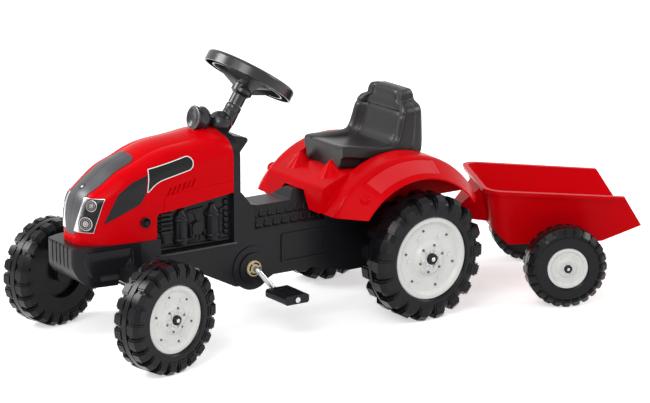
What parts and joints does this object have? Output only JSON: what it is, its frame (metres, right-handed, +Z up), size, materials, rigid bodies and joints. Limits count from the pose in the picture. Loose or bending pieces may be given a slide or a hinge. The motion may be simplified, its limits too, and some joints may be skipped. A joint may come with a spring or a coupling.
{
  "type": "ride on pedal tractor with trailer",
  "caption": "Child's red ride-on pedal tractor with steered front wheels, chain driven rear axle, bucket seat and an open tub trailer towed on a pin hitch.",
  "frame": {"origin": "floor point under the middle of the rear axle", "axes": "+Z up, the tractor faces -X with its left side towards -Y, and tows the trailer towards +X"},
  "size_m": [1.3329, 0.5933, 0.5629],
  "materials": {
    "red_plastic": "gloss",
    "black_plastic": "satin",
    "tyre_plastic": "satin",
    "white_plastic": "gloss",
    "cap_plastic": "satin",
    "grey_film": "satin",
    "lamp_film": "gloss",
    "panel_film": "satin",
    "pod_plastic": "metallic",
    "zinc_steel": "zinc plated",
    "cream_bush": "satin"
  },
  "bodies": {
    "tractor": {"chassis_left": "black_plastic", "chassis_right": "black_plastic", "hood": "red_plastic", "grille_film": "grey_film", "left_headlight_film": "lamp_film", "right_headlight_film": "lamp_film", "left_window_film": "grey_film", "right_window_film": "grey_film", "left_name_panel": "panel_film", "right_name_panel": "panel_film", "dash_console": "black_plastic", "dash_pod": "pod_plastic", "column_collar": "black_plastic", "rear_body": "red_plastic", "seat": "black_plastic", "front_axle": "black_plastic", "left_crank_bush": "cream_bush", "right_crank_bush": "cream_bush", "left_axle_bush": "cream_bush", "right_axle_bush": "cream_bush", "drive_chain": "zinc_steel", "hitch_bracket": "zinc_steel", "hitch_pin": "zinc_steel"},
    "steering": {"steering_wheel": "black_plastic", "steering_wheel_cap": "black_plastic", "steering_rod": "zinc_steel"},
    "left_knuckle": {"left_knuckle": "zinc_steel", "left_kingpin_cap": "black_plastic"},
    "right_knuckle": {"right_knuckle": "zinc_steel", "right_kingpin_cap": "black_plastic"},
    "tie_rod": {"tie_rod": "zinc_steel"},
    "front_left_wheel": {"front_left_tyre": "tyre_plastic", "front_left_disc": "white_plastic", "front_left_cap": "cap_plastic"},
    "front_right_wheel": {"front_right_tyre": "tyre_plastic", "front_right_disc": "white_plastic", "front_right_cap": "cap_plastic"},
    "crank": {"crank": "zinc_steel", "crank_sprocket": "zinc_steel"},
    "left_pedal": {"left_pedal": "black_plastic"},
    "right_pedal": {"right_pedal": "black_plastic"},
    "rear_axle": {"rear_axle": "zinc_steel", "rear_sprocket": "zinc_steel", "rear_left_tyre": "tyre_plastic", "rear_left_disc": "white_plastic", "rear_left_cap": "cap_plastic"},
    "rear_right_wheel": {"rear_right_tyre": "tyre_plastic", "rear_right_disc": "white_plastic", "rear_right_cap": "cap_plastic"},
    "trailer": {"trailer_tub": "red_plastic", "trailer_axle": "zinc_steel"},
    "trailer_left_wheel": {"trailer_left_tyre": "tyre_plastic", "trailer_left_disc": "white_plastic", "trailer_left_cap": "cap_plastic"},
    "trailer_right_wheel": {"trailer_right_tyre": "tyre_plastic", "trailer_right_disc": "white_plastic", "trailer_right_cap": "cap_plastic"}
  },
  "joints": [
    {"name": "steering", "type": "hinge", "parent": "tractor", "child": "steering", "pos_m": [-0.294, 0, 0.505], "axis": [0.5446, 0, 0.8387], "range_deg": [-42.5, 17.5]},
    {"name": "left_kingpin", "type": "hinge", "parent": "tractor", "child": "left_knuckle", "pos_m": [-0.627, -0.15, 0.15], "axis": [0, 0, 1], "range_deg": [-42.5, 17.5]},
    {"name": "right_kingpin", "type": "hinge", "parent": "tractor", "child": "right_knuckle", "pos_m": [-0.627, 0.15, 0.15], "axis": [0, 0, 1], "range_deg": [-42.5, 17.5]},
    {"name": "tie_rod_pivot", "type": "hinge", "parent": "left_knuckle", "child": "tie_rod", "pos_m": [-0.58014, -0.13961, 0.121], "axis": [0, 0, 1], "range_deg": [-17.5, 42.5]},
    {"name": "front_left_spin", "type": "hinge", "parent": "left_knuckle", "child": "front_left_wheel", "pos_m": [-0.61553, -0.20174, 0.1084], "axis": [-0.2164, 0.9763, 0], "continuous": true},
    {"name": "front_right_spin", "type": "hinge", "parent": "right_knuckle", "child": "front_right_wheel", "pos_m": [-0.63847, 0.20174, 0.1084], "axis": [-0.2164, 0.9763, 0], "continuous": true},
    {"name": "crank_spin", "type": "hinge", "parent": "tractor", "child": "crank", "pos_m": [-0.34288, 0, 0.134], "axis": [0, 1, 0], "continuous": true, "deforming": ["drive_chain"]},
    {"name": "left_pedal_spin", "type": "hinge", "parent": "crank", "child": "left_pedal", "pos_m": [-0.31492, -0.165, 0.09255], "axis": [0, 1, 0], "continuous": true},
    {"name": "right_pedal_spin", "type": "hinge", "parent": "crank", "child": "right_pedal", "pos_m": [-0.37084, 0.165, 0.17545], "axis": [0, 1, 0], "continuous": true},
    {"name": "rear_axle_spin", "type": "hinge", "parent": "tractor", "child": "rear_axle", "pos_m": [0, 0, 0.13], "axis": [0, 1, 0], "continuous": true},
    {"name": "rear_right_spin", "type": "hinge", "parent": "tractor", "child": "rear_right_wheel", "pos_m": [0, 0.182, 0.13], "axis": [0, 1, 0], "continuous": true},
    {"name": "trailer_swing", "type": "hinge", "parent": "tractor", "child": "trailer", "pos_m": [0.14, 0, 0.152], "axis": [0, 0, 1], "range_deg": [-9.3, 60.7]},
    {"name": "trailer_left_spin", "type": "hinge", "parent": "trailer", "child": "trailer_left_wheel", "pos_m": [0.29672, -0.27552, 0.0838], "axis": [0.4337, 0.9011, 0], "continuous": true},
    {"name": "trailer_right_spin", "type": "hinge", "parent": "trailer", "child": "trailer_right_wheel", "pos_m": [0.4531, 0.04941, 0.0838], "axis": [0.4337, 0.9011, 0], "continuous": true}
  ],
  "couplings": [
    {"joint": "left_kingpin", "follows": "steering", "ratio": 1},
    {"joint": "right_kingpin", "follows": "steering", "ratio": 1},
    {"joint": "tie_rod_pivot", "follows": "steering", "ratio": -1},
    {"joint": "crank_spin", "follows": "rear_axle_spin", "ratio": 1}
  ]
}
